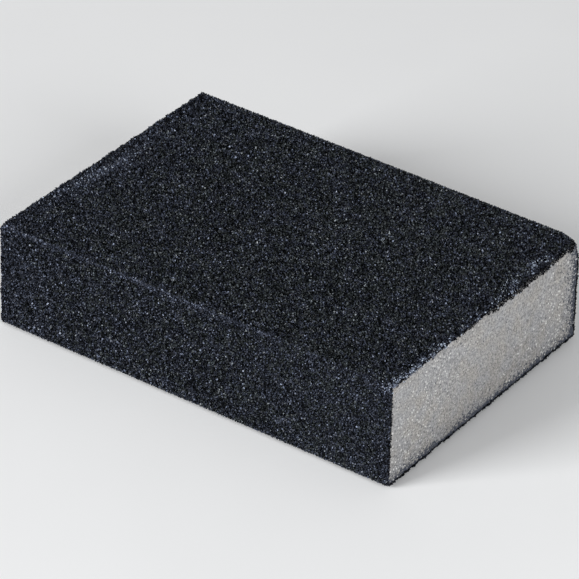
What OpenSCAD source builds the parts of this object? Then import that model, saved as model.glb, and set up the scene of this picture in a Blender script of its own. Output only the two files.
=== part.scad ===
// Four-sided coated foam sanding block.
// A flexible foam bar carries abrasive on its top, its underside and its two long sides.
// Both short ends are left bare, as the saw that cut the bar to length left them.
// The origin is the middle of the underside. X runs along the length, -Y is the front, +Z is up.

/* [Block] */
// Length, from one bare end to the other
block_length = 100; // [60:1:200]
// Width over the grain tips
block_width = 70; // [40:1:150]
// Height over the grain tips
block_height = 25; // [12:1:60]
// Radius of the four long edges over the grain tips
edge_r = 1.2; // [0.9:0.1:4]

/* [Coating] */
// Thickness of the cured resin film that bonds the grains to the foam
bond_t = 0.25; // [0.1:0.05:0.4]
// Thickness of the layer of abrasive grains, up to the grain tips
grit_t = 0.45; // [0.15:0.05:0.45]

/* [Hidden] */
// Facets of each edge's full circle
edge_facets = 48;
// How far a layer's blank runs past the rounded form that trims it
overrun = 1;
half_width = block_width / 2;
coat_t = bond_t + grit_t;
FRONT = -1;
REAR = 1;

// The block's outer cross-section: a rectangle with four rounded corners.
module outer_section() {
    translate([-half_width + edge_r, 0])
        square([block_width - 2 * edge_r, block_height]);
    translate([-half_width, edge_r])
        square([block_width, block_height - 2 * edge_r]);
    for (side = [FRONT, REAR], z = [edge_r, block_height - edge_r])
        translate([side * (half_width - edge_r), z])
            circle(edge_r, $fn = edge_facets);
}

// The section turned upright and drawn out along X to the block's length.
module outer_form() {
    rotate([90, 0, 90])
        linear_extrude(block_length, center = true)
            outer_section();
}

// A rectangular bar of the full length, centred across the width, from z_low to z_high.
module flat_bar(width, z_low, z_high) {
    translate([-block_length / 2, -width / 2, z_low])
        cube([block_length, width, z_high - z_low]);
}

// One layer of a broad face. Depths are measured from the outer face into the block.
// The layer ends at the side coats, which were laid on later and cover its cut edges.
module face_layer(on_top, depth_out, depth_in) {
    z_low = on_top ? block_height - depth_in : depth_out;
    z_high = on_top ? block_height - depth_out : depth_in;
    intersection() {
        flat_bar(block_width - 2 * coat_t, z_low, z_high);
        outer_form();
    }
}

// One layer of a long side. It stands the full height, so it also covers the face coats' edges.
module side_layer(side, depth_out, depth_in) {
    y_out = side * (half_width - depth_out);
    y_in = side * (half_width - depth_in);
    intersection() {
        translate([-block_length / 2, min(y_out, y_in), -overrun])
            cube([block_length, depth_in - depth_out, block_height + 2 * overrun]);
        outer_form();
    }
}

// Bar of open-cell flexible foam, cut square.
module foam_core() {
    color("darkgray")
        flat_bar(block_width - 2 * coat_t, coat_t, block_height - coat_t);
}

// Resin films that bond the grains to the foam.
module make_coat_top() {
    color([0.24, 0.26, 0.33]) face_layer(true, grit_t, coat_t);
}

module make_coat_bottom() {
    color([0.24, 0.26, 0.33]) face_layer(false, grit_t, coat_t);
}

module make_coat_front() {
    color([0.24, 0.26, 0.33]) side_layer(FRONT, grit_t, coat_t);
}

module make_coat_rear() {
    color([0.24, 0.26, 0.33]) side_layer(REAR, grit_t, coat_t);
}

// Layers of abrasive grains, locked together by their size coat.
module grit_top() {
    color([0.12, 0.13, 0.15]) face_layer(true, 0, grit_t);
}

module grit_bottom() {
    color([0.12, 0.13, 0.15]) face_layer(false, 0, grit_t);
}

module grit_front() {
    color([0.12, 0.13, 0.15]) side_layer(FRONT, 0, grit_t);
}

module grit_rear() {
    color([0.12, 0.13, 0.15]) side_layer(REAR, 0, grit_t);
}

foam_core();
make_coat_top();
make_coat_bottom();
make_coat_front();
make_coat_rear();
grit_top();
grit_bottom();
grit_front();
grit_rear();
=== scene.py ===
"""A coated foam sanding block: a bare foam bar, four films of bonding resin and four layers of grit."""
import math

import bpy
import numpy as np
from mathutils import Matrix, Vector, noise


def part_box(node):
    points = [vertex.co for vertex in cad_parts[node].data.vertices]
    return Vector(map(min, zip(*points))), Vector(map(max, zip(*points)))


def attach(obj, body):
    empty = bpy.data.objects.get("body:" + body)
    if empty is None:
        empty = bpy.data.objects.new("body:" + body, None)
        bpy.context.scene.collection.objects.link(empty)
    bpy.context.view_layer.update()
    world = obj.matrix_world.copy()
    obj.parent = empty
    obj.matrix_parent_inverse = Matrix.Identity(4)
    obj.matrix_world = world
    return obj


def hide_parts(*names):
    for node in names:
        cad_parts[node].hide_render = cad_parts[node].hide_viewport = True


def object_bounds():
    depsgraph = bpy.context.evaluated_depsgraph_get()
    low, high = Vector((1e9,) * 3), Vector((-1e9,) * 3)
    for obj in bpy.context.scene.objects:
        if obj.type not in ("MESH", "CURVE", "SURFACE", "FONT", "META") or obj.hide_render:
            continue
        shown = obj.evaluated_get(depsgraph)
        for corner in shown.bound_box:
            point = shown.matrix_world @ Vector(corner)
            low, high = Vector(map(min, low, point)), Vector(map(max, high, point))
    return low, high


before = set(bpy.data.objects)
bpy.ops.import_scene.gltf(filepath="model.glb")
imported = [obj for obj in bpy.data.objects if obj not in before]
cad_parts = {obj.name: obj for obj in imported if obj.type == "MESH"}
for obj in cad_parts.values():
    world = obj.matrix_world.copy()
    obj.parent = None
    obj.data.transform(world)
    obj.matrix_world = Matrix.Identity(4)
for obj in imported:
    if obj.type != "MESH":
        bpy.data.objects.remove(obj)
cad_low, cad_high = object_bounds()

# ---------------------------------------------------------------------------------------------------
# The camera looks down on the block's near long side and on one bare end. A long lens about a metre
# away keeps the block's parallel edges almost parallel.
view_azimuth = math.radians(36.05)
view_elevation = math.radians(32.96)
view_roll = math.radians(0.69)
view_distance = 1.034
aim_up = 0.00868
lens_mm = 303.1

camera_back = Vector((
    math.sin(view_azimuth) * math.cos(view_elevation),
    -math.cos(view_azimuth) * math.cos(view_elevation),
    math.sin(view_elevation),
))
level_right = Vector((math.cos(view_azimuth), math.sin(view_azimuth), 0))
camera_right = Matrix.Rotation(view_roll, 3, camera_back) @ level_right
camera_up = camera_back.cross(camera_right)
camera = bpy.data.objects.new("camera", bpy.data.cameras.new("camera"))
camera.data.lens = lens_mm
camera.data.sensor_width = 36.0
camera.data.clip_start = 0.01
camera.data.clip_end = 20.0
camera_place = camera_up * aim_up + camera_back * view_distance
camera.matrix_world = Matrix.Translation(camera_place) @ Matrix(
    (camera_right, camera_up, camera_back)
).transposed().to_4x4()
bpy.context.scene.collection.objects.link(camera)
bpy.context.scene.camera = camera


# ---------------------------------------------------------------------------------------------------
# The table is a sheet of matte white paper under a pale sky of soft white light, with one broad
# softbox at the left front, a weaker one at the right, facing the bare foam end, and a faint low one
# behind. The paper lies level with the tips of the lowest grains.
paper_white = "#F1F2F3"
paper_shade = "#EEEFF0"
paper_cloud = 0.03
paper_tooth = 0.0007
tooth_depth = 0.00003
sky_strength = 0.26
floor_reach = 4.0
floor_drop = 0.0003
softbox_side = 0.6


def linear(hex_colour):
    """An sRGB hex colour as linear red, green, blue and alpha."""
    parts = [int(hex_colour[start:start + 2], 16) / 255 for start in (1, 3, 5)]
    return (*[c / 12.92 if c <= 0.04045 else ((c + 0.055) / 1.055) ** 2.4 for c in parts], 1.0)


def add(tree, kind, settings=None, sockets=None):
    """Adds a node to a tree, with its settings, and its inputs set or linked by name or number."""
    node = tree.nodes.new(kind)
    for name, value in (settings or {}).items():
        setattr(node, name, value)
    for key, value in (sockets or {}).items():
        if isinstance(value, bpy.types.NodeSocket):
            tree.links.new(value, node.inputs[key])
        else:
            node.inputs[key].default_value = value
    return node


def new_material(name):
    """An empty node material and its tree."""
    material = bpy.data.materials.new(name)
    material.use_nodes = True
    material.node_tree.nodes.clear()
    return material, material.node_tree


def finish_material(tree, sockets):
    """Ends a material in one Principled shader."""
    shader = add(tree, "ShaderNodeBsdfPrincipled", None, sockets)
    add(tree, "ShaderNodeOutputMaterial", None, {"Surface": shader.outputs[0]})


def mesh_piece(name, points, faces):
    """An object at the origin whose mesh holds these points, in metres, and faces."""
    mesh = bpy.data.meshes.new(name)
    mesh.from_pydata([tuple(p) for p in points], [], [tuple(int(n) for n in f) for f in faces])
    mesh.update()
    piece = bpy.data.objects.new(name, mesh)
    bpy.context.scene.collection.objects.link(piece)
    return piece


def softbox(name, place, watts):
    """A square area light at a place, facing the block."""
    data = bpy.data.lights.new(name, "AREA")
    data.size = softbox_side
    data.energy = watts
    lamp = bpy.data.objects.new(name, data)
    lamp.location = place
    lamp.rotation_euler = Vector(place).to_track_quat("Z", "Y").to_euler()
    bpy.context.scene.collection.objects.link(lamp)


floor = mesh_piece(
    "paper_floor",
    [(x, y, -floor_drop) for x, y in ((-floor_reach, -floor_reach), (floor_reach, -floor_reach),
                                      (floor_reach, floor_reach), (-floor_reach, floor_reach))],
    [(0, 1, 2, 3)],
)

# Uncoated paper: matte, faintly clouded where its fibres lie thicker, with a felt-marked tooth. The real
# tooth is about half as wide. It is drawn as coarse as it needs to be to show.
paper, tree = new_material("matte_white_paper")
place = add(tree, "ShaderNodeTexCoord").outputs["Object"]
cloud = add(tree, "ShaderNodeTexNoise", None, {"Vector": place, "Scale": 1 / paper_cloud, "Detail": 2.0})
colour = add(tree, "ShaderNodeMix", {"data_type": "RGBA"},
             {0: cloud.outputs[0], 6: linear(paper_white), 7: linear(paper_shade)})
tooth = add(tree, "ShaderNodeTexNoise", None, {"Vector": place, "Scale": 1 / paper_tooth, "Detail": 3.0})
bump = add(tree, "ShaderNodeBump", None,
           {"Strength": 0.3, "Distance": tooth_depth, "Height": tooth.outputs[0]})
finish_material(tree, {"Base Color": colour.outputs[2], "Roughness": 0.9, "Specular IOR Level": 0.1,
                       "Normal": bump.outputs[0]})
floor.data.materials.append(paper)

world = bpy.data.worlds.new("pale_sky")
world.use_nodes = True
world.node_tree.nodes.clear()
sky = add(world.node_tree, "ShaderNodeBackground", None,
          {"Color": (1.0, 1.0, 1.0, 1.0), "Strength": sky_strength})
add(world.node_tree, "ShaderNodeOutputWorld", None, {"Surface": sky.outputs[0]})
bpy.context.scene.world = world
bpy.context.scene.view_settings.view_transform = "Standard"
softbox("softbox_left", (-0.5, -1.05, 0.5), 17.0)
softbox("softbox_right", (1.1, -0.35, 0.6), 8.6)
softbox("softbox_behind", (-0.45, 1.2, 0.18), 3.6)


# ---------------------------------------------------------------------------------------------------
# The core is a bar of light grey open-cell flexible foam, cast as a bun and sawn square. The saw
# opens cells all over its two ends, the only foam that is left bare. It cuts the soft bar a little
# out of square, and use has rounded the block's corners, one of them more than the rest.
mm = 0.001
corner_radius = 0.7 * mm
knocked_radius = 2.4 * mm
corner_fade = 1.2
crown_height = 0.1 * mm
crown_reach = 1.1
right_skew = (-0.51 * mm, 0.16 * mm)
left_skew = (0.26 * mm, 0.26 * mm)
foam_cell = 0.5 * mm
cell_randomness = 0.9
cell_depth = 0.12 * mm
cell_reach = 1.2 * mm
saw_wave = 0.06 * mm
saw_wave_size = 4 * mm
end_grid = 0.19 * mm

block_low, block_high = np.array(cad_low), np.array(cad_high)
half_length, half_width = block_high[0], block_high[1]
block_height = block_high[2]


def smooth_step(values, low=0, high=1):
    """0 below low, 1 above high, and an even S between."""
    t = np.clip((values - low) / (high - low), 0, 1)
    return t * t * (3 - 2 * t)


def out_of_true(points):
    """Where the soft block holds points of the drawn one: skewed ends, a crown and rounded corners.

    A skew is how far an end is cut out of square, across the block and up it.
    """
    moved = np.array(points, float)
    x, y, z = moved.T
    lift = np.cos(math.pi * x / (2 * crown_reach * half_length))
    lift *= np.cos(math.pi * y / (2 * crown_reach * half_width))
    moved[:, 2] += crown_height * lift * z / block_height
    for skew, reach in ((right_skew, x), (left_skew, -x)):
        along = np.clip(reach / half_length, 0, None)
        moved[:, 0] += along * (skew[0] * y / half_width + skew[1] * (2 * z / block_height - 1))
    for corner in np.array(np.meshgrid(*zip(block_low, block_high))).reshape(3, -1).T:
        radius = knocked_radius if (corner > 0).all() else corner_radius
        outward = np.where(corner > 0, 1, -1)
        depth = (corner - np.stack([x, y, z], 1)) * outward
        inward = np.clip(radius - depth, 0, None)
        span = np.maximum(np.linalg.norm(inward, axis=1), 1e-9)
        near = smooth_step((2 * radius - np.linalg.norm(depth, axis=1)) / (corner_fade * radius))
        moved -= inward * ((1 - inward.max(1) / span) * near)[:, None] * outward
    return moved


def gridded_box(xs, ys, zs):
    """Points and faces of a closed box with grid lines at these places on each of its faces."""
    lines = [np.array(v) for v in (xs, ys, zs)]
    counts = [len(v) for v in lines]
    place = np.indices(counts)
    skin = np.zeros(counts, bool)
    for axis in range(3):
        skin |= (place[axis] == 0) | (place[axis] == counts[axis] - 1)
    number = np.full(counts, -1)
    number[skin] = np.arange(skin.sum())
    points = np.stack([lines[axis][place[axis][skin]] for axis in range(3)], 1)
    faces = []
    for axis in range(3):
        for last in (False, True):
            side = np.take(number, -1 if last else 0, axis=axis)
            quads = np.stack([side[:-1, :-1], side[1:, :-1], side[1:, 1:], side[:-1, 1:]], -1)
            quads = quads.reshape(-1, 4)
            faces.append(quads if last != (axis == 1) else quads[:, ::-1])
    return points, np.concatenate(faces)


def spaced(low, high, step):
    """Places from low to high, evenly, about a step apart."""
    return np.linspace(low, high, max(2, round((high - low) / step) + 1))


def node_group(name, inputs):
    """A Geometry Nodes tree with these named inputs, as {name: (socket type, value)}."""
    group = bpy.data.node_groups.new(name, "GeometryNodeTree")
    group.interface.new_socket(name="Geometry", in_out="INPUT", socket_type="NodeSocketGeometry")
    group.interface.new_socket(name="Geometry", in_out="OUTPUT", socket_type="NodeSocketGeometry")
    for label, (kind, value) in inputs.items():
        socket = group.interface.new_socket(name=label, in_out="INPUT", socket_type=kind)
        if value is not None:
            socket.default_value = value
    return group, add(group, "NodeGroupInput").outputs


def grown(source, group, name, **values):
    """The plain mesh that a Geometry Nodes tree makes of a source object, which is then removed."""
    modifier = source.modifiers.new(group.name, "NODES")
    modifier.node_group = group
    for item in group.interface.items_tree:
        if item.in_out == "INPUT" and item.name.replace(" ", "_").lower() in values:
            modifier[item.identifier] = values[item.name.replace(" ", "_").lower()]
    seen = source.evaluated_get(bpy.context.evaluated_depsgraph_get())
    mesh = bpy.data.meshes.new_from_object(seen)
    mesh.name = name
    source.modifiers.clear()
    bpy.data.objects.remove(source)
    piece = bpy.data.objects.new(name, mesh)
    bpy.context.scene.collection.objects.link(piece)
    return piece


# Sawn foam: each opened cell is a shallow pit between thin walls, and the saw leaves the face a
# little uneven over some millimetres. The cells are drawn 0.5 mm across, on the coarse side of what
# such foam has, as coarse as they need to be to show.
length_input = "NodeSocketFloat"
cells, given = node_group("sawn_foam_cells", {
    "Cell Size": (length_input, foam_cell),
    "Cell Depth": (length_input, cell_depth),
    "Saw Wave": (length_input, saw_wave),
    "End Place": (length_input, half_length),
    "Foam": ("NodeSocketMaterial", None),
})
place = add(cells, "GeometryNodeInputPosition").outputs[0]
per_cell = add(cells, "ShaderNodeMath", {"operation": "DIVIDE"}, {0: 1.0, 1: given["Cell Size"]})
cell_wall = add(cells, "ShaderNodeTexVoronoi", {"feature": "DISTANCE_TO_EDGE"},
                {"Vector": place, "Scale": per_cell.outputs[0], "Randomness": cell_randomness})
pit = add(cells, "ShaderNodeMapRange", {"interpolation_type": "SMOOTHSTEP"},
          {"Value": cell_wall.outputs["Distance"], "From Min": 0.03, "From Max": 0.24})
pit_depth = add(cells, "ShaderNodeMath", {"operation": "MULTIPLY"},
                {0: pit.outputs[0], 1: given["Cell Depth"]})
unevenness = add(cells, "ShaderNodeTexNoise", None,
                 {"Vector": place, "Scale": 1 / saw_wave_size, "Detail": 2.0})
wave = add(cells, "ShaderNodeMath", {"operation": "MULTIPLY"},
           {0: unevenness.outputs[0], 1: given["Saw Wave"]})
sunk = add(cells, "ShaderNodeMath", {"operation": "ADD"}, {0: pit_depth.outputs[0], 1: wave.outputs[0]})
across = add(cells, "ShaderNodeSeparateXYZ", None, {0: place})
from_middle = add(cells, "ShaderNodeMath", {"operation": "ABSOLUTE"}, {0: across.outputs[0]})
near_end = add(cells, "ShaderNodeMath", {"operation": "SUBTRACT"},
               {0: from_middle.outputs[0], 1: given["End Place"]})
on_end = add(cells, "ShaderNodeMath", {"operation": "GREATER_THAN"}, {0: near_end.outputs[0], 1: -cell_reach})
way_in = add(cells, "ShaderNodeMath", {"operation": "SIGN"}, {0: across.outputs[0]})
inwards = add(cells, "ShaderNodeMath", {"operation": "MULTIPLY"}, {0: way_in.outputs[0], 1: -1.0})
sink = add(cells, "ShaderNodeMath", {"operation": "MULTIPLY"}, {0: inwards.outputs[0], 1: sunk.outputs[0]})
offset = add(cells, "ShaderNodeCombineXYZ", None, {0: sink.outputs[0]})
cut = add(cells, "GeometryNodeSetPosition", None,
          {"Geometry": given["Geometry"], "Selection": on_end.outputs[0], "Offset": offset.outputs[0]})
coated = add(cells, "GeometryNodeSetMaterial", None,
             {"Geometry": cut.outputs[0], "Material": given["Foam"]})
add(cells, "NodeGroupOutput", None, {0: coated.outputs[0]})

# Flexible polyurethane foam: matte and light grey, mottled at random between a light grey and a shadow grey,
# with painted shade darkening each cell's pit between pale walls, and a little warmer here and cooler there.
foam_light = "#CAC9C8"
foam_shadow = "#696A6B"
foam_warm = "#FFFCF8"
foam_cool = "#FBFCFF"
mottle_size = 0.45 * mm
pit_shade_share = 0.2
tone_size = 4 * mm

foam_material, tree = new_material("flexible_polyurethane_foam")
place = add(tree, "ShaderNodeTexCoord").outputs["Object"]
cell_wall = add(tree, "ShaderNodeTexVoronoi", {"feature": "DISTANCE_TO_EDGE"},
                {"Vector": place, "Scale": 1 / foam_cell, "Randomness": cell_randomness})
pit = add(tree, "ShaderNodeMapRange", {"interpolation_type": "SMOOTHSTEP"},
          {"Value": cell_wall.outputs["Distance"], "From Min": 0.02, "From Max": 0.3})
mottle = add(tree, "ShaderNodeTexNoise", None, {"Vector": place, "Scale": 1 / mottle_size, "Detail": 2.0})
uneven = add(tree, "ShaderNodeMapRange", None,
             {"Value": mottle.outputs[0], "From Min": 0.28, "From Max": 0.72, "To Max": 0.8})
# Painted shade: the pit in the middle of each cell is mixed towards the shadow grey.
deep = add(tree, "ShaderNodeMath", {"operation": "MULTIPLY_ADD"},
           {0: pit.outputs[0], 1: pit_shade_share, 2: uneven.outputs[0]})
body = add(tree, "ShaderNodeMix", {"data_type": "RGBA"},
           {0: deep.outputs[0], 6: linear(foam_light), 7: linear(foam_shadow)})
tone = add(tree, "ShaderNodeTexNoise", None, {"Vector": place, "Scale": 1 / tone_size, "Detail": 1.0})
warmth = add(tree, "ShaderNodeMapRange", None, {"Value": tone.outputs[0], "From Min": 0.35, "From Max": 0.65})
tint = add(tree, "ShaderNodeMix", {"data_type": "RGBA"},
           {0: warmth.outputs[0], 6: linear(foam_warm), 7: linear(foam_cool)})
tinted = add(tree, "ShaderNodeMix", {"data_type": "RGBA", "blend_type": "MULTIPLY"},
             {0: 1.0, 6: body.outputs[2], 7: tint.outputs[2]})

# Painted shade greys the foam towards the underside. Close to the bottom and rear coats it is strewn
# with blue-black specks of resin and grit, thickest at the coat, and reaching further in from the rear.
foam_underside_shade = "#434345"
foam_dust = "#353B49"
underside_shade_reach = 10 * mm
underside_shade_most = 0.36
dust_reach = 1.35 * mm
rear_closeness = 0.62
dust_patch = 0.6 * mm
speck_size = 0.32 * mm
speck_share = 0.65

low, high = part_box("foam_core")
sides = add(tree, "ShaderNodeSeparateXYZ", None, {0: place})
above = add(tree, "ShaderNodeMath", {"operation": "SUBTRACT"}, {0: sides.outputs[2], 1: low.z})
off_rear = add(tree, "ShaderNodeMath", {"operation": "SUBTRACT"}, {0: high.y, 1: sides.outputs[1]})
beside = add(tree, "ShaderNodeMath", {"operation": "MULTIPLY"}, {0: off_rear.outputs[0], 1: rear_closeness})
# Painted shade: the foam's colour greys towards its underside, most at the bottom.
underside_shade_fade = add(tree, "ShaderNodeMath", {"operation": "MULTIPLY"},
                 {0: above.outputs[0], 1: -1 / underside_shade_reach})
underside_shade_share = add(tree, "ShaderNodeMath", {"operation": "EXPONENT"}, {0: underside_shade_fade.outputs[0]})
underside_shading = add(tree, "ShaderNodeMath", {"operation": "MULTIPLY"}, {0: underside_shade_share.outputs[0], 1: underside_shade_most})
underside_shaded = add(tree, "ShaderNodeMix", {"data_type": "RGBA"},
             {0: underside_shading.outputs[0], 6: tinted.outputs[2], 7: linear(foam_underside_shade)})
to_coat = add(tree, "ShaderNodeMath", {"operation": "MINIMUM"}, {0: above.outputs[0], 1: beside.outputs[0]})
dust_fade = add(tree, "ShaderNodeMath", {"operation": "MULTIPLY"},
                {0: to_coat.outputs[0], 1: -1 / dust_reach})
dust_share = add(tree, "ShaderNodeMath", {"operation": "EXPONENT"}, {0: dust_fade.outputs[0]})
patchy = add(tree, "ShaderNodeTexNoise", None, {"Vector": place, "Scale": 1 / dust_patch, "Detail": 3.0})
specks = add(tree, "ShaderNodeTexVoronoi", {"feature": "F1"}, {"Vector": place, "Scale": 1 / speck_size})
strewn = add(tree, "ShaderNodeSeparateColor", None, {0: specks.outputs["Color"]})
thick = add(tree, "ShaderNodeMath", {"operation": "ADD"}, {0: dust_share.outputs[0], 1: patchy.outputs[0]})
over = add(tree, "ShaderNodeMath", {"operation": "MULTIPLY_ADD"},
           {0: strewn.outputs[0], 1: speck_share, 2: thick.outputs[0]})
dust = add(tree, "ShaderNodeMapRange", None,
           {"Value": over.outputs[0], "From Min": 1.13, "From Max": 1.32, "To Max": 0.92})
dusted = add(tree, "ShaderNodeMix", {"data_type": "RGBA"},
             {0: dust.outputs[0], 6: underside_shaded.outputs[2], 7: linear(foam_dust)})

# Painted highlights: small white points of many sizes, set in random cells and made less rough, stand in for
# cut cell walls glinting in the light.
foam_glint = "#F6F6F4"
glint_spacing = 0.8 * mm
foam_grain = 0.35 * mm
foam_grain_depth = 0.08 * mm

painted_glint_cells = add(tree, "ShaderNodeTexVoronoi", {"feature": "F1"}, {"Vector": place, "Scale": 1 / glint_spacing})
chance = add(tree, "ShaderNodeSeparateColor", None, {0: painted_glint_cells.outputs["Color"]})
glint_size = add(tree, "ShaderNodeMapRange", None,
                 {"Value": chance.outputs[0], "From Min": 0.1, "To Min": 0.001, "To Max": 0.42})
glint = add(tree, "ShaderNodeMapRange", None,
            {"Value": painted_glint_cells.outputs["Distance"], "From Max": glint_size.outputs[0],
             "To Min": 1.0, "To Max": 0.0})
glinting = add(tree, "ShaderNodeMix", {"data_type": "RGBA"},
               {0: glint.outputs[0], 6: dusted.outputs[2], 7: linear(foam_glint)})
rough = add(tree, "ShaderNodeMapRange", None, {"Value": glint.outputs[0], "To Min": 0.85, "To Max": 0.35})
grain = add(tree, "ShaderNodeTexNoise", None, {"Vector": place, "Scale": 1 / foam_grain, "Detail": 2.0})
bump = add(tree, "ShaderNodeBump", None,
           {"Strength": 0.6, "Distance": foam_grain_depth, "Height": grain.outputs[0]})
finish_material(tree, {"Base Color": glinting.outputs[2], "Roughness": rough.outputs[0],
                       "Specular IOR Level": 0.3, "Normal": bump.outputs[0]})

# The bar's hidden sides need few lines across them, set closer where its corners are rounded.
left_lines = [-half_length, -0.98 * half_length, -0.94 * half_length]
right_lines = [0.82 * half_length, *(np.linspace(0.88, 1.0, 7) * half_length)]
points, quads = gridded_box(left_lines + right_lines, spaced(low.y, high.y, end_grid),
                            spaced(low.z, high.z, end_grid))
foam = grown(mesh_piece("foam_blank", out_of_true(points), quads), cells, "sawn_foam_core",
             foam=foam_material)
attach(foam, "root")
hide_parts("foam_core")


# ---------------------------------------------------------------------------------------------------
# A film of dark bonding resin lies on each coated face of the foam. It is spread wet, takes the
# grains, and is cured hard, so it stands in low waves between them. The side films are laid on after
# the broad ones and turn in round the block's long edges. The saw leaves their ends ragged.
edge_radius = 1.2 * mm
film_grid = 0.6 * mm
film_wave = 0.05 * mm
film_wave_size = 1.1 * mm
ragged_end = 0.22 * mm
chip_size = 0.9 * mm
end_sharpness = 101.0
film_radius = edge_radius - (block_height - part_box("make_coat_top")[1].z)


def wrapped(points):
    """Points of a film drawn in round the block's long edges, to the film's own outer radius."""
    moved = np.array(points, float)
    middle = (0, block_height / 2)
    centre = (half_width - edge_radius, block_height / 2 - edge_radius)
    beyond = np.abs(moved[:, 1:] - middle) - centre
    span = np.linalg.norm(beyond, axis=1)
    outside = (beyond > 0).all(1) & (span > film_radius)
    drawn_in = beyond * (film_radius / np.maximum(span, 1e-9))[:, None]
    side = np.sign(moved[:, 1:] - middle)
    moved[:, 1:] = np.where(outside[:, None], middle + side * (centre + drawn_in), moved[:, 1:])
    return moved


waves, given = node_group("resin_waves", {
    "Wave Height": (length_input, film_wave),
    "Wave Size": (length_input, film_wave_size),
    "Ragged End": (length_input, ragged_end),
    "End Place": (length_input, half_length),
    "Resin": ("NodeSocketMaterial", None),
})
place = add(waves, "GeometryNodeInputPosition").outputs[0]
per_wave = add(waves, "ShaderNodeMath", {"operation": "DIVIDE"}, {0: 1.0, 1: given["Wave Size"]})
swell = add(waves, "ShaderNodeTexNoise", None,
            {"Vector": place, "Scale": per_wave.outputs[0], "Detail": 3.0})
height = add(waves, "ShaderNodeMapRange", None,
             {"Value": swell.outputs[0], "From Min": 0.3, "From Max": 0.7, "To Min": -1.0})
rise = add(waves, "ShaderNodeMath", {"operation": "MULTIPLY"},
           {0: height.outputs[0], 1: given["Wave Height"]})
outwards = add(waves, "GeometryNodeInputNormal").outputs[0]
swollen = add(waves, "ShaderNodeVectorMath", {"operation": "SCALE"}, {0: outwards, "Scale": rise.outputs[0]})
chips = add(waves, "ShaderNodeTexNoise", None, {"Vector": place, "Scale": 1 / chip_size, "Detail": 4.0})
chip = add(waves, "ShaderNodeMapRange", None,
           {"Value": chips.outputs[0], "From Min": 0.35, "From Max": 0.7, "To Min": 0.3, "To Max": -1.0})
# A high odd power of the way along is 1 at one end, -1 at the other and next to nothing between.
along = add(waves, "ShaderNodeSeparateXYZ", None, {0: place})
how_far = add(waves, "ShaderNodeMath", {"operation": "DIVIDE"}, {0: along.outputs[0], 1: given["End Place"]})
outer = add(waves, "ShaderNodeMath", {"operation": "POWER"}, {0: how_far.outputs[0], 1: end_sharpness})
end_share = add(waves, "ShaderNodeClamp", None, {"Value": outer.outputs[0], "Min": -1.0, "Max": 1.0})
ragged = add(waves, "ShaderNodeMath", {"operation": "MULTIPLY"}, {0: chip.outputs[0], 1: given["Ragged End"]})
ragged_x = add(waves, "ShaderNodeMath", {"operation": "MULTIPLY"},
               {0: ragged.outputs[0], 1: end_share.outputs[0]})
ragged_offset = add(waves, "ShaderNodeCombineXYZ", None, {0: ragged_x.outputs[0]})
both = add(waves, "ShaderNodeVectorMath", {"operation": "ADD"},
           {0: swollen.outputs[0], 1: ragged_offset.outputs[0]})
wavy = add(waves, "GeometryNodeSetPosition", None, {"Geometry": given["Geometry"], "Offset": both.outputs[0]})
cured = add(waves, "GeometryNodeSetMaterial", None,
            {"Geometry": wavy.outputs[0], "Material": given["Resin"]})
add(waves, "NodeGroupOutput", None, {0: cured.outputs[0]})

# Cured phenolic resin: blue-black, clouded, and satin to dull where it is sunk between grains.
resin_dark = "#060708"
resin_blue = "#0D0F14"
resin_cloud = 0.5 * mm
resin_grain = 0.15 * mm
resin_grain_depth = 0.05 * mm

resin, tree = new_material("cured_phenolic_resin")
place = add(tree, "ShaderNodeTexCoord").outputs["Object"]
cloud = add(tree, "ShaderNodeTexNoise", None, {"Vector": place, "Scale": 1 / resin_cloud, "Detail": 4.0})
colour = add(tree, "ShaderNodeMix", {"data_type": "RGBA"},
             {0: cloud.outputs[0], 6: linear(resin_dark), 7: linear(resin_blue)})
rough = add(tree, "ShaderNodeMapRange", None, {"Value": cloud.outputs[0], "To Min": 0.45, "To Max": 0.75})
grain = add(tree, "ShaderNodeTexNoise", None, {"Vector": place, "Scale": 1 / resin_grain, "Detail": 3.0})
bump = add(tree, "ShaderNodeBump", None,
           {"Strength": 0.6, "Distance": resin_grain_depth, "Height": grain.outputs[0]})
finish_material(tree, {"Base Color": colour.outputs[2], "Roughness": rough.outputs[0],
                       "Specular IOR Level": 0.06, "Normal": bump.outputs[0]})

faces = ("top", "bottom", "front", "rear")
for face in faces:
    low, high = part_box("make_coat_" + face)
    upright = face in ("front", "rear")
    ys = [low.y, high.y] if upright else spaced(low.y, high.y, film_grid)
    zs = spaced(low.z, high.z, film_grid) if upright else [low.z, high.z]
    points, quads = gridded_box(spaced(low.x, high.x, film_grid), ys, zs)
    film = grown(mesh_piece("resin_blank", out_of_true(wrapped(points)), quads), waves,
                 "bond_film_" + face, resin=resin)
    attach(film, "root")
    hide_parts("make_coat_" + face)


# ---------------------------------------------------------------------------------------------------
# Grit stands in each resin film: crushed angular mineral grains, a coarse fraction that stands proud
# and a finer one sunk between, locked by a thin size coat. The saw and handling turn the coat down
# over the bare ends as a crumbling lip.

# Grains of this grade are about 0.27 mm across. They are drawn 0.3 to 0.6 mm across, as coarse as they
# need to be to show. Each fraction is sown on a sheet that lies its seat below the grain tips.
coarse = {"grain": 0.23 * mm, "spacing": 0.45 * mm, "seat": 0.2 * mm, "hold_back": 0.15 * mm,
          "forms": ("chunk", "sliver")}
fine = {"grain": 0.2 * mm, "spacing": 0.295 * mm, "seat": 0.3 * mm, "hold_back": 0.0,
        "forms": ("shard", "splinter")}
seat_grid = 0.4 * mm
edge_split = math.radians(65)
broad_turn_lines = 3
side_turn_lines = 6
lip_round = 0.4 * mm
lip_step = 0.2 * mm
lip_rows = 8
lip_turn_lines = 4
heap_flat = 0.08 * mm
heap_end = 0.3 * mm
heap_reach = 1.5 * mm
crumb_size = 0.8 * mm
noise_gain = 0.62
seed_shift = (7.31, 3.17, 5.03)


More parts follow.
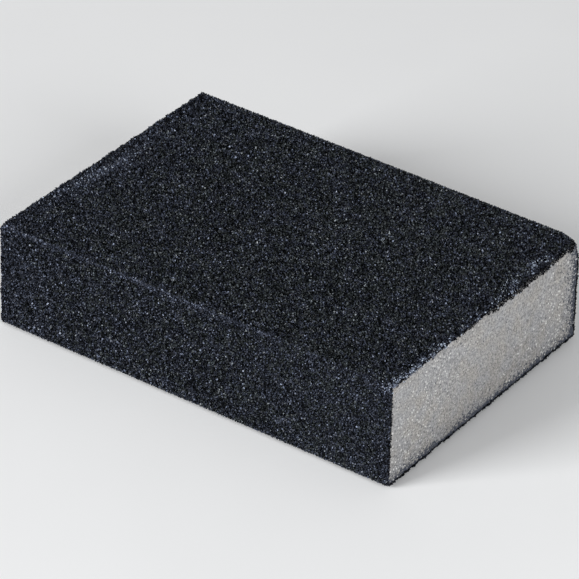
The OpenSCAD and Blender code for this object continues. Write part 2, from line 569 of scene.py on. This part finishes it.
def seat_run(face, seat):
    """Points (y, z) across one face at the grains' depth, and the way into the block at each.

    The side coats reach round the long edges as far as the split, and the broad ones take over there.
    """
    middle_y, middle_z = half_width - edge_radius, block_height / 2 - edge_radius
    if face in ("top", "bottom"):
        turn = np.linspace(edge_split, math.pi / 2, broad_turn_lines)
        flat = spaced(middle_y, -middle_y, -seat_grid)[1:-1]
        angles = np.concatenate([turn, np.full(len(flat), math.pi / 2), math.pi - turn[::-1]])
        base_y = np.concatenate([np.full(len(turn), middle_y), flat, np.full(len(turn), -middle_y)])
        base_z = np.full(len(base_y), middle_z)
    else:
        turn = np.linspace(edge_split, 0, side_turn_lines)
        flat = spaced(middle_z, -middle_z, -seat_grid)[1:-1]
        angles = np.concatenate([turn, np.zeros(len(flat)), -turn[::-1]])
        base_z = np.concatenate([np.full(len(turn), middle_z), flat, np.full(len(turn), -middle_z)])
        base_y = np.full(len(base_z), middle_y)
    outward = np.stack([np.cos(angles), np.sin(angles)], 1)
    run = np.stack([base_y, base_z], 1) + outward * (edge_radius - seat)
    flip = {"top": (1, 1), "bottom": (1, -1), "rear": (1, 1), "front": (-1, 1)}[face]
    return run * flip + (0, block_height / 2), -outward * flip


def noise_at(points, size, seed):
    """Smooth noise from 0 to 1 at each point, with features of this size and its own seed."""
    shift = Vector([seed * way for way in seed_shift])
    values = [noise.noise(Vector(p) / size + shift) for p in points]
    return np.clip(0.5 + noise_gain * np.array(values), 0, 1)


# The saw and use have worn the coat. Its lip hangs unevenly, in patches and crumbs, deepest along the
# rear half of the right end. Coarse grains are held back a little on it, where mostly fine ones hold.
patch_size = 2.2 * mm
lip_patches = 0.6
lip_hang = (0.45 * mm, 0.95 * mm)
front_lip_hang = (0.45 * mm, 0.7 * mm)
lip_fade = 0.15 * mm
lip_soaked = 0.4
deep_lip_hang = (0.35 * mm, 1.25 * mm)
deep_lip_span = (-8 * mm, 8 * mm)
deep_lip_stain = 0.08
stain_reach = 0.8 * mm
bald_size = 0.9 * mm
bald_span = (0.75, 0.85)
bald_share = 0.6

# The long edges are rubbed paler, most of all the top front one, and less towards the right end. The
# flat of the front side pales a little towards that end.
rubbed_lowest = 0.78
edge_in = 0.44 * mm
edge_down = 0.3 * mm
edge_reach = 0.47 * mm
other_edges = 0.2
edge_fainter_from = 20 * mm
edge_fainter = 0.6
edge_patch_size = 5 * mm
edge_patches = (0.75, 1.25)
front_pale = (0.05, 0.21)
front_pale_span = (0, 40 * mm)

# A slanting streak is rubbed across the top near the left end, and the corner between the top, the
# front and the right end is knocked.
streak_in = 4.2 * mm
streak_slant = 0.08
streak_slant_from = 2 * mm
streak_middle = -6 * mm
streak_width = 1.4 * mm
streak_length = 11 * mm
streak_rub = (0.5, 1.1)
streak_chips = 0.45
knock_place = (half_length - 0.6 * mm, 0.5 * mm - half_width, block_height - 0.5 * mm)
knock_reach = 1.5 * mm
knock_chips = 0.4

# Grains along the top's right end are torn near the front, and chipped to fresh mineral in places.
torn_in = 0.4 * mm
torn_reach = 0.7 * mm
torn_span = (-20 * mm, -6 * mm)
torn_crumbs = (0.3, 0.65)
chip_across = 1.6 * mm
chip_inset = 0.9 * mm
chip_crumbs = (0.25, 0.6)
fresh_chips = (
    # place across the width, place in from the end, share of the facets that are fresh
    (24 * mm, 1.0 * mm, 0.5),
    (20 * mm, 2.2 * mm, 0.9),
    (17 * mm, 1.6 * mm, 0.4),
    (12 * mm, 2.0 * mm, 0.85),
    (9.5 * mm, 0.8 * mm, 0.6),
    (5 * mm, 0.7 * mm, 0.3),
    (-3 * mm, 0.5 * mm, 0.35),
    (-17 * mm, 1.4 * mm, 0.2),
)

# Grains are bluer where the coat is worn, in patches, and towards both ends.
blue_least = 0.3
front_blue_least = 0.45
worn_blue = 0.8
blue_patch_size = 3 * mm
blue_patch_span = (0.3, 0.8)
blue_patches = 0.5
left_blue = 0.6
left_blue_reach = 10 * mm
right_blue = 0.3
right_blue_reach = 5 * mm


def between(span, share):
    """The value this share of the way along a span."""
    return span[0] + (span[1] - span[0]) * share


def fading(*ways):
    """1 in the middle of a worn spot, fading past its reach, for each (distance, reach) from it."""
    return np.exp(-sum((distance / reach) ** 2 for distance, reach in ways))


def worn(face, points, depth, hold_back):
    """How thickly grains stand at points of one face, and how they are worn, as shares from 0 to 1."""
    x, y, z = points.T
    to_right, to_left = half_length - x, half_length + x
    crumbs = noise_at(points, crumb_size, seed=3)
    patches = noise_at(points, patch_size, seed=5)
    lip = between(front_lip_hang if face == "front" else lip_hang,
                  lip_patches * patches + (1 - lip_patches) * crumbs) - hold_back
    soaked = lip_soaked * smooth_step(depth / lip_round)

    off_side = half_width - np.abs(y) - edge_in
    off_broad = block_height / 2 - np.abs(z - block_height / 2) - edge_down
    rubbed = np.where((y < 0) & (z > block_height / 2), 1.0, other_edges)
    rubbed *= np.where(x > edge_fainter_from, edge_fainter, 1)
    rubbed *= fading((off_side, edge_reach), (off_broad, edge_reach))
    rubbed *= between(edge_patches, noise_at(points, edge_patch_size, seed=11))
    chipped = np.zeros(len(x))
    if face == "top":
        rearwards = smooth_step(y, *deep_lip_span)
        lip += np.where(x > 0, rearwards * between(deep_lip_hang, patches), 0)
        soaked += deep_lip_stain * rearwards * fading((to_right, stain_reach))
        for across, inset, share in fresh_chips:
            spot = share * fading((y - across, chip_across), (to_right - inset, chip_inset))
            chipped = np.maximum(chipped, spot * smooth_step(crumbs, *chip_crumbs))
        torn = fading((to_right - torn_in, torn_reach)) * (1 - smooth_step(y, *torn_span))
        chipped = np.maximum(chipped, torn * smooth_step(crumbs, *torn_crumbs))
        off_streak = to_left - (streak_in + streak_slant * (y - streak_slant_from))
        streak = fading((off_streak, streak_width), (y - streak_middle, streak_length))
        rubbed = np.maximum(rubbed, streak * between(streak_rub, patches))
        chipped = np.maximum(chipped, streak_chips * streak * crumbs)
    knock = fading((np.linalg.norm(points - knock_place, axis=1), knock_reach))
    rubbed = np.maximum(rubbed, knock)
    chipped = np.maximum(chipped, knock_chips * knock)

    bald = bald_share * smooth_step(noise_at(points, bald_size, seed=14), *bald_span)
    cover = np.where(depth > 0, smooth_step((lip - depth) / lip_fade), 1 - bald)
    blue = (front_blue_least if face == "front" else blue_least) + worn_blue * (chipped + rubbed)
    blue += blue_patches * smooth_step(noise_at(points, blue_patch_size, seed=8), *blue_patch_span)
    blue += left_blue * np.exp(-to_left / left_blue_reach)
    blue += right_blue * np.exp(-to_right / right_blue_reach)
    if face == "front":
        rubbed = np.maximum(rubbed, between(front_pale, smooth_step(x, *front_pale_span)))
    return {"cover": cover, "palest": 1 - soaked, "darkest": rubbed_lowest * rubbed, "chipped": chipped,
            "blue": blue}


def seat_sheet(face, seat, hold_back):
    """The sheet that grains of one face are sown on, with how many stand there and how they are worn."""
    run, way_in = seat_run(face, seat)
    turn = np.linspace(0, math.pi / 2, lip_turn_lines)
    short = np.concatenate([lip_round * (1 - np.sin(turn)), np.zeros(lip_rows)])
    hang = np.concatenate([lip_round * (1 - np.cos(turn)), lip_round + lip_step * np.arange(1, lip_rows + 1)])
    flat = spaced(lip_round - half_length, half_length - lip_round, seat_grid)[1:-1]
    xs = np.concatenate([short[::-1] - half_length, flat, half_length - short])
    depths = np.concatenate([hang[::-1], np.zeros(len(flat)), hang])
    grid_yz = run[None] + depths[:, None, None] * way_in[None]
    points = np.concatenate([np.repeat(xs[:, None, None], len(run), 1), grid_yz], 2).reshape(-1, 3)
    rows, columns = len(xs), len(run)
    number = np.arange(rows * columns).reshape(rows, columns)
    quads = np.stack([number[:-1, :-1], number[1:, :-1], number[1:, 1:], number[:-1, 1:]], -1)

    outward = np.concatenate([np.zeros((len(points), 1)), -np.tile(way_in, (rows, 1))], 1)
    heaped = heap_flat + heap_end * fading((half_length - np.abs(points[:, 0]), heap_reach))
    heaped *= 2 * noise_at(points, crumb_size, seed=17) - 1
    sheet = mesh_piece("seat_" + face, out_of_true(points) + outward * heaped[:, None], quads.reshape(-1, 4))
    for name, values in worn(face, points, np.repeat(depths, columns), hold_back).items():
        layer = sheet.data.attributes.new(name, "FLOAT", "POINT")
        layer.data.foreach_set("value", np.clip(values, 0, 1).astype(np.float32))
    return sheet


# The crushed grains: black silicon carbide under a thin satin size coat. A grain is far smaller
# than anything painted on it could show, so each of its facets is one even shade, drawn from a
# mixture: most are black or charcoal, and a few are pale. The spread from facet to facet is partly
# the grains' own tone and partly painted light: the pale and bright facets are painted highlights
# for facets that catch the light, and the darkest stand partly for shade between the grains.
mixture = (
    # name, plain colour, bluer colour, roughness, specular level, lowest place in the mixture
    ("soaked_black_facet", "#060707", "#060709", 0.80, 0.02, 0.0),
    ("black_carbide_facet", "#131617", "#13151B", 0.50, 0.08, 0.23),
    ("charcoal_facet", "#1F2324", "#1F222A", 0.45, 0.12, 0.38),
    ("slate_facet", "#2F3436", "#2F333E", 0.40, 0.18, 0.56),
    ("ash_facet", "#40464B", "#404655", 0.38, 0.25, 0.77),
    ("pale_facet", "#5F676D", "#5F677A", 0.35, 0.30, 0.945),
    ("bright_facet", "#8A9198", "#8892A8", 0.30, 0.40, 0.988),
    ("fractured_facet", "#B5BCC4", "#AEBACC", 0.30, 0.40, 1.0),
)
chipped_lowest = 0.95
chipped_highest = 1.05


def mineral(name, colour, roughness, shine):
    """One shade of facet."""
    material, tree = new_material(name)
    finish_material(tree, {"Base Color": linear(colour), "Roughness": roughness,
                           "Specular IOR Level": shine})
    return material


minerals = [[mineral(name, plain, roughness, shine), mineral(name + "_blue", bluer, roughness, shine)]
            for name, plain, bluer, roughness, shine, _ in mixture]


def blank_grain(name, points, faces):
    """An angular grain form, about one unit across, which the tree scales; it is not itself shown."""
    form = mesh_piece(name, points, faces)
    form.data.materials.append(minerals[0][0])
    form.hide_render = True
    return form


forms = {
    "chunk": blank_grain(
        "chunk", [(1, 0, 0), (-1, 0, 0), (0, 1, 0), (0, -1, 0), (0, 0, 1), (0, 0, -1)],
        [(0, 2, 4), (2, 1, 4), (1, 3, 4), (3, 0, 4), (2, 0, 5), (1, 2, 5), (3, 1, 5), (0, 3, 5)]),
    "sliver": blank_grain(
        "sliver", [(-0.9, -0.7, -0.6), (0.9, -0.7, -0.5), (0, 0.9, -0.6), (-0.6, -0.5, 0.7),
                   (0.8, -0.4, 0.5), (0.1, 0.6, 0.8)],
        [(0, 2, 1), (3, 4, 5), (0, 1, 4, 3), (1, 2, 5, 4), (2, 0, 3, 5)]),
    "shard": blank_grain(
        "shard", [(0.8, 0.8, 0.8), (0.8, -0.8, -0.8), (-0.8, 0.8, -0.8), (-0.8, -0.8, 0.8)],
        [(0, 1, 2), (0, 3, 1), (0, 2, 3), (1, 3, 2)]),
    "splinter": blank_grain(
        "splinter", [(1, 0.3, 0.2), (-0.9, 0.7, -0.3), (-0.5, -0.8, -0.4), (-0.1, 0.1, 0.9)],
        [(0, 2, 1), (0, 3, 2), (0, 1, 3), (1, 2, 3)]),
}

# Each grain is one of its fraction's two forms, turned at random, stretched its own way between the
# slimmest and the fattest, and crushed: its points are moved by up to that share of its size. So that
# grains fill the sheet, several places are tried in the square that one of them takes up.
grain_crush = 0.22
slimmest, fattest = 0.7, 1.25
tries_per_grain = 4.0

sown, given = node_group("sown_grit", {
    "Grain Size": (length_input, coarse["grain"]),
    "Spacing": (length_input, coarse["spacing"]),
    "Crush": (length_input, grain_crush),
    "Seed": ("NodeSocketInt", 1),
    "Form": ("NodeSocketObject", None),
    "Other Form": ("NodeSocketObject", None),
})
squared = add(sown, "ShaderNodeMath", {"operation": "POWER"}, {0: given["Spacing"], 1: -2.0})
crowd = add(sown, "ShaderNodeMath", {"operation": "MULTIPLY"}, {0: squared.outputs[0], 1: tries_per_grain})
cover, palest, darkest, chipped, blue = (
    add(sown, "GeometryNodeInputNamedAttribute", {"data_type": "FLOAT"}, {"Name": name})
    for name in ("cover", "palest", "darkest", "chipped", "blue"))
spots = add(sown, "GeometryNodeDistributePointsOnFaces", {"distribute_method": "POISSON"},
            {"Mesh": given["Geometry"], "Distance Min": given["Spacing"], "Density Max": crowd.outputs[0],
             "Density Factor": cover.outputs[0], "Seed": given["Seed"]})
tone = add(sown, "FunctionNodeRandomValue", {"data_type": "FLOAT"}, {2: 0.0, 3: 1.0, "Seed": 20})
bluer = add(sown, "ShaderNodeMath", {"operation": "LESS_THAN"}, {0: tone.outputs[1], 1: blue.outputs[0]})
toned = add(sown, "GeometryNodeStoreNamedAttribute", {"data_type": "FLOAT", "domain": "POINT"},
            {"Geometry": spots.outputs["Points"], "Name": "bluer", "Value": bluer.outputs[0]})
pair = add(sown, "GeometryNodeJoinGeometry")
for form in ("Form", "Other Form"):
    blank = add(sown, "GeometryNodeObjectInfo", None, {"Object": given[form], "As Instance": True})
    sown.links.new(blank.outputs["Geometry"], pair.inputs[0])
which = add(sown, "FunctionNodeRandomValue", {"data_type": "INT"}, {4: 0, 5: 1, "Seed": 21})
turn = add(sown, "FunctionNodeRandomValue", {"data_type": "FLOAT_VECTOR"},
           {0: (0.0, 0.0, 0.0), 1: (math.tau, math.tau, math.tau), "Seed": 22})
shape = add(sown, "FunctionNodeRandomValue", {"data_type": "FLOAT_VECTOR"},
            {0: (slimmest,) * 3, 1: (fattest,) * 3, "Seed": 23})
size = add(sown, "ShaderNodeVectorMath", {"operation": "SCALE"},
           {0: shape.outputs[0], "Scale": given["Grain Size"]})
standing = add(sown, "GeometryNodeInstanceOnPoints", None,
               {"Points": toned.outputs[0], "Instance": pair.outputs[0], "Pick Instance": True,
                "Instance Index": which.outputs[2], "Rotation": turn.outputs[0], "Scale": size.outputs[0]})
single = add(sown, "GeometryNodeRealizeInstances", None, {"Geometry": standing.outputs[0]})
number = add(sown, "GeometryNodeInputIndex")
chip = add(sown, "FunctionNodeRandomValue", {"data_type": "FLOAT_VECTOR"},
           {0: (-1.0, -1.0, -1.0), 1: (1.0, 1.0, 1.0), "ID": number.outputs[0], "Seed": 24})
crushing = add(sown, "ShaderNodeMath", {"operation": "MULTIPLY"}, {0: given["Grain Size"], 1: given["Crush"]})
chipping = add(sown, "ShaderNodeVectorMath", {"operation": "SCALE"},
               {0: chip.outputs[0], "Scale": crushing.outputs[0]})
crushed = add(sown, "GeometryNodeSetPosition", None,
              {"Geometry": single.outputs[0], "Offset": chipping.outputs[0]})

# Painted light and shade: how pale a facet is drawn stands partly for how it catches the light.
# Each facet draws its place in the mixture. On rubbed stretches it draws no dark place, on the lip no
# pale one, and a chipped facet draws only from the palest.
draw = add(sown, "FunctionNodeRandomValue", {"data_type": "FLOAT"},
           {2: 0.0, 3: 1.0, "ID": number.outputs[0], "Seed": given["Seed"]})
common = add(sown, "ShaderNodeMapRange", None,
             {"Value": draw.outputs[1], "To Min": darkest.outputs[0], "To Max": palest.outputs[0]})
fresh = add(sown, "ShaderNodeMapRange", None,
            {"Value": draw.outputs[1], "To Min": chipped_lowest, "To Max": chipped_highest})
lottery = add(sown, "FunctionNodeRandomValue", {"data_type": "FLOAT"},
              {2: 0.0, 3: 1.0, "ID": number.outputs[0], "Seed": 25})
is_fresh = add(sown, "ShaderNodeMath", {"operation": "LESS_THAN"},
               {0: lottery.outputs[1], 1: chipped.outputs[0]})
place = add(sown, "ShaderNodeMix", {"data_type": "FLOAT"},
            {0: is_fresh.outputs[0], 2: common.outputs[0], 3: fresh.outputs[0]})
shaded = add(sown, "GeometryNodeStoreNamedAttribute", {"data_type": "FLOAT", "domain": "FACE"},
             {"Geometry": crushed.outputs[0], "Name": "shade", "Value": place.outputs[0]})
shade, is_bluer = (add(sown, "GeometryNodeInputNamedAttribute", {"data_type": "FLOAT"}, {"Name": name})
                   for name in ("shade", "bluer"))
for (*_, lowest), tones in zip(mixture, minerals):
    for tone_number, material in enumerate(tones):
        past = add(sown, "ShaderNodeMath", {"operation": "GREATER_THAN"}, {0: shade.outputs[0], 1: lowest})
        own_tone = add(sown, "ShaderNodeMath", {"operation": "COMPARE"},
                       {0: is_bluer.outputs[0], 1: float(tone_number), 2: 0.5})
        chosen = add(sown, "ShaderNodeMath", {"operation": "MULTIPLY"},
                     {0: past.outputs[0], 1: own_tone.outputs[0]})
        shaded = add(sown, "GeometryNodeSetMaterial", None,
                     {"Geometry": shaded.outputs[0], "Selection": chosen.outputs[0], "Material": material})
add(sown, "NodeGroupOutput", None, {0: shaded.outputs[0]})

for order, face in enumerate(faces):
    for fraction, cut in (("coarse", coarse), ("fine", fine)):
        form, other_form = (forms[name] for name in cut["forms"])
        grit = grown(seat_sheet(face, cut["seat"], cut["hold_back"]), sown, f"grit_{face}_{fraction}",
                     grain_size=cut["grain"], spacing=cut["spacing"], seed=31 + order,
                     form=form, other_form=other_form)
        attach(grit, "root")
        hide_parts("grit_" + face)
for form in forms.values():
    bpy.data.objects.remove(form)
